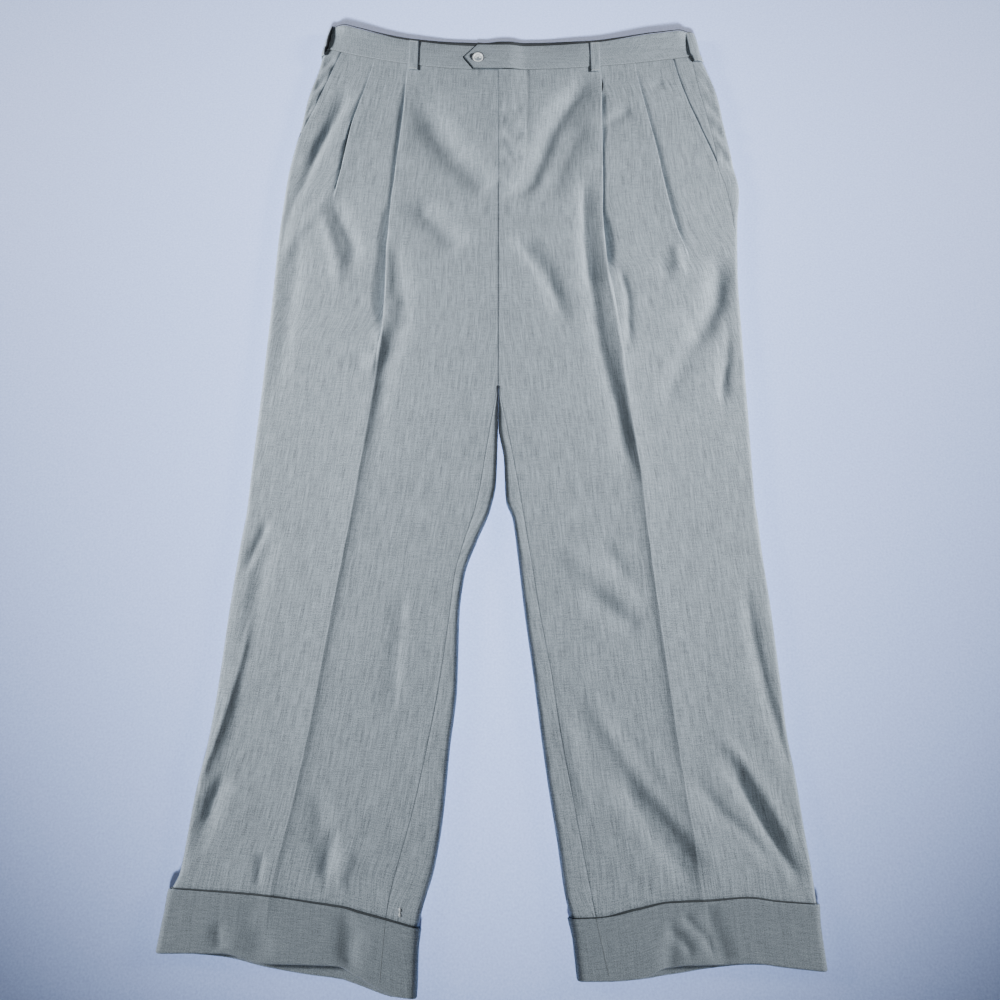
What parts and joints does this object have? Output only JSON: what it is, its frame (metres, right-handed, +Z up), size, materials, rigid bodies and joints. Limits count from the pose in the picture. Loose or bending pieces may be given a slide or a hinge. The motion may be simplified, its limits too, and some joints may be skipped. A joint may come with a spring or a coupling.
{
  "type": "pleated dress trousers",
  "caption": "Grey wool dress trousers with pleated fronts, slant pockets, belt loops, a buttoned tab waistband and wide turn-up cuffs, laid flat on their back.",
  "frame": {"origin": "middle of the bounding box, on the surface that the trousers lie on", "axes": "+Y from the hems towards the waist, +Z up out of the surface through the front panels, +X towards the wearer's left leg"},
  "size_m": [0.5988, 1.101, 0.0191],
  "materials": {
    "grey_wool": "matte",
    "button_pearl": "satin"
  },
  "bodies": {
    "root": {"front_left": "grey_wool", "front_right": "grey_wool", "back_left": "grey_wool", "back_right": "grey_wool", "pocket_facing_left": "grey_wool", "pocket_facing_right": "grey_wool", "cuff_left": "grey_wool", "cuff_right": "grey_wool", "waistband_left": "grey_wool", "waistband_right": "grey_wool", "belt_loop_front_left": "grey_wool", "belt_loop_front_right": "grey_wool", "belt_loop_side_left": "grey_wool", "belt_loop_side_right": "grey_wool", "waist_button": "button_pearl"}
  },
  "joints": []
}
